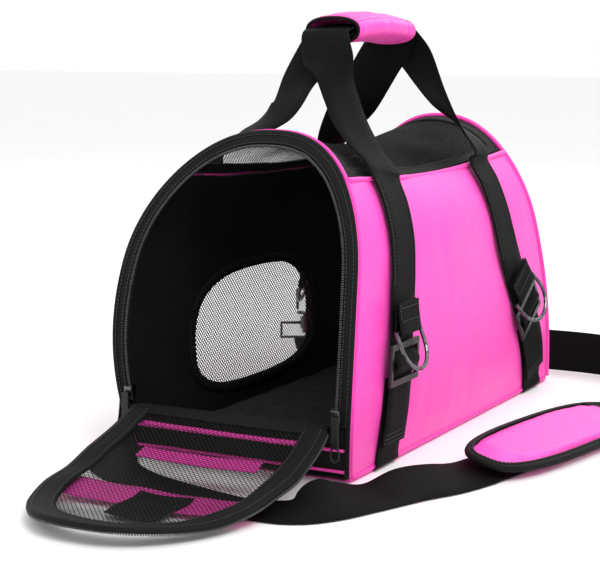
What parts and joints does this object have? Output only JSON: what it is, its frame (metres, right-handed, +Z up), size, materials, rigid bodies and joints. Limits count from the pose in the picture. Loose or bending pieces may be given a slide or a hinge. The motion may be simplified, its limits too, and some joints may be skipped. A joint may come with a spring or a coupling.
{
  "type": "pet carrier bag",
  "caption": "Soft-sided arched pet carrier bag with zipped mesh door folded down, mesh roof, webbing handles with grip, D-rings and padded shoulder strap.",
  "frame": {"origin": "centre of the bag's base, on the surface it stands on", "axes": "-Y towards the door end, +X towards the plain side panel, +Z up"},
  "size_m": [0.4296, 0.76, 0.3804],
  "materials": {
    "pink_fabric": "woven satin, vivid pink",
    "black_fabric": "woven tape, matt",
    "black_webbing": "ribbed webbing",
    "black_mesh": "open knitted mesh",
    "black_plastic": "moulded, satin",
    "dark_metal": "dark nickel",
    "spring_steel": "bare wire",
    "fleece": "short pile",
    "board": "stiff board"
  },
  "bodies": {
    "bag": {"back_hoop": "spring_steel", "back_panel": "pink_fabric", "back_piping": "pink_fabric", "base_panel": "pink_fabric", "base_strap_back": "black_webbing", "base_strap_front": "black_webbing", "carry_strap_left": "black_webbing", "carry_strap_right": "black_webbing", "door_hinge_tape": "black_fabric", "front_hoop": "spring_steel", "front_piping": "pink_fabric", "front_sill": "black_fabric", "front_zipper_tape": "black_fabric", "front_zipper_teeth": "black_plastic", "grip_wrap": "pink_fabric", "ring_keeper_left_back": "black_webbing", "ring_keeper_left_front": "black_webbing", "ring_keeper_right_back": "black_webbing", "ring_keeper_right_front": "black_webbing", "shoulder_strap": "black_webbing", "side_panel_left": "pink_fabric", "side_panel_right": "pink_fabric", "side_window_binding": "black_fabric", "side_window_mesh": "black_mesh", "strap_adjuster": "black_plastic", "strap_buckle_left_back": "black_plastic", "strap_buckle_left_front": "black_plastic", "strap_buckle_right_back": "black_plastic", "strap_buckle_right_front": "black_plastic", "swivel_eye_back": "dark_metal", "swivel_eye_front": "dark_metal", "top_binding": "black_fabric", "top_mesh": "black_mesh"},
    "door": {"door_mesh": "black_mesh", "door_binding": "black_fabric", "door_zipper_teeth": "black_plastic", "door_band": "pink_fabric", "door_patch": "black_fabric"},
    "floor_insert": {"floor_board": "board", "floor_pad": "fleece"},
    "grip_flap": {"grip_flap": "pink_fabric"},
    "shoulder_pad": {"shoulder_pad": "pink_fabric", "pad_binding": "black_fabric"},
    "zipper_slider_left": {"zipper_slider_left": "dark_metal"},
    "zipper_pull_left": {"zipper_pull_left": "black_plastic"},
    "d_ring_left_front": {"d_ring_left_front": "dark_metal"},
    "d_ring_left_back": {"d_ring_left_back": "dark_metal"},
    "zipper_slider_right": {"zipper_slider_right": "dark_metal"},
    "zipper_pull_right": {"zipper_pull_right": "black_plastic"},
    "d_ring_right_front": {"d_ring_right_front": "dark_metal"},
    "d_ring_right_back": {"d_ring_right_back": "dark_metal"},
    "snap_hook_front": {"snap_hook_front": "dark_metal"},
    "hook_gate_front": {"hook_gate_front": "dark_metal"},
    "snap_hook_back": {"snap_hook_back": "dark_metal"},
    "hook_gate_back": {"hook_gate_back": "dark_metal"}
  },
  "joints": [
    {"name": "door_hinge", "type": "hinge", "parent": "bag", "child": "door", "pos_m": [0, -0.24754, 0.0485], "axis": [-1, 0, 0], "range_deg": [0, 114.5]},
    {"name": "floor_insert_lift", "type": "slide", "parent": "bag", "child": "floor_insert", "axis": [0, 0, 1], "range_m": [0, 0.06]},
    {"name": "grip_flap_hinge", "type": "hinge", "parent": "bag", "child": "grip_flap", "pos_m": [-0.0245, -0.006, 0.3775], "axis": [0, -1, 0], "range_deg": [0, 110]},
    {"name": "shoulder_pad_slide", "type": "slide", "parent": "bag", "child": "shoulder_pad", "axis": [0.174, 0.9848, 0], "range_m": [0, 0.028]},
    {"name": "zipper_slide_left", "type": "hinge", "parent": "bag", "child": "zipper_slider_left", "pos_m": [-0.10112, -0.01184, 0.09127], "axis": [-0.9981, 0, -0.0617], "range_deg": [0, 14]},
    {"name": "zipper_pull_left", "type": "hinge", "parent": "zipper_slider_left", "child": "zipper_pull_left", "pos_m": [-0.10038, -0.2541, 0.06186], "axis": [-1, 0, 0], "range_deg": [0, 140]},
    {"name": "zipper_slide_right", "type": "hinge", "parent": "bag", "child": "zipper_slider_right", "pos_m": [0.10112, -0.01184, 0.09127], "axis": [-0.9981, 0, 0.0617], "range_deg": [0, 14]},
    {"name": "zipper_pull_right", "type": "hinge", "parent": "zipper_slider_right", "child": "zipper_pull_right", "pos_m": [0.10038, -0.2541, 0.06186], "axis": [-1, 0, 0], "range_deg": [0, 140]},
    {"name": "d_ring_right_front", "type": "hinge", "parent": "bag", "child": "d_ring_right_front", "pos_m": [0.12339, -0.167, 0.1191], "axis": [0, -1, 0], "range_deg": [0, 126]},
    {"name": "d_ring_right_back", "type": "hinge", "parent": "bag", "child": "d_ring_right_back", "pos_m": [0.11843, 0.11741, 0.11393], "axis": [-0.0288, -0.8037, -0.5944], "range_deg": [0, 126]},
    {"name": "d_ring_left_front", "type": "hinge", "parent": "bag", "child": "d_ring_left_front", "pos_m": [-0.12789, -0.167, 0.11893], "axis": [0, 1, 0], "range_deg": [-4, 4]},
    {"name": "d_ring_left_back", "type": "hinge", "parent": "bag", "child": "d_ring_left_back", "pos_m": [-0.12293, 0.11731, 0.11385], "axis": [-0.0288, 0.8037, 0.5944], "range_deg": [-4, 0]},
    {"name": "hook_swivel_front", "type": "hinge", "parent": "bag", "child": "snap_hook_front", "pos_m": [-0.1405, -0.167, 0.0874], "axis": [0, 0, 1], "range_deg": [-40, 40]},
    {"name": "hook_gate_front", "type": "hinge", "parent": "snap_hook_front", "child": "hook_gate_front", "pos_m": [-0.149, -0.167, 0.0698], "axis": [0, 1, 0], "range_deg": [0, 25], "stiffness_Nm_per_rad": 0.01},
    {"name": "hook_swivel_back", "type": "hinge", "parent": "bag", "child": "snap_hook_back", "pos_m": [-0.1367, 0.1355, 0.0886], "axis": [0, 0, 1], "range_deg": [-18, 18]},
    {"name": "hook_gate_back", "type": "hinge", "parent": "snap_hook_back", "child": "hook_gate_back", "pos_m": [-0.1452, 0.1355, 0.071], "axis": [0, 1, 0], "range_deg": [0, 25], "stiffness_Nm_per_rad": 0.01}
  ]
}
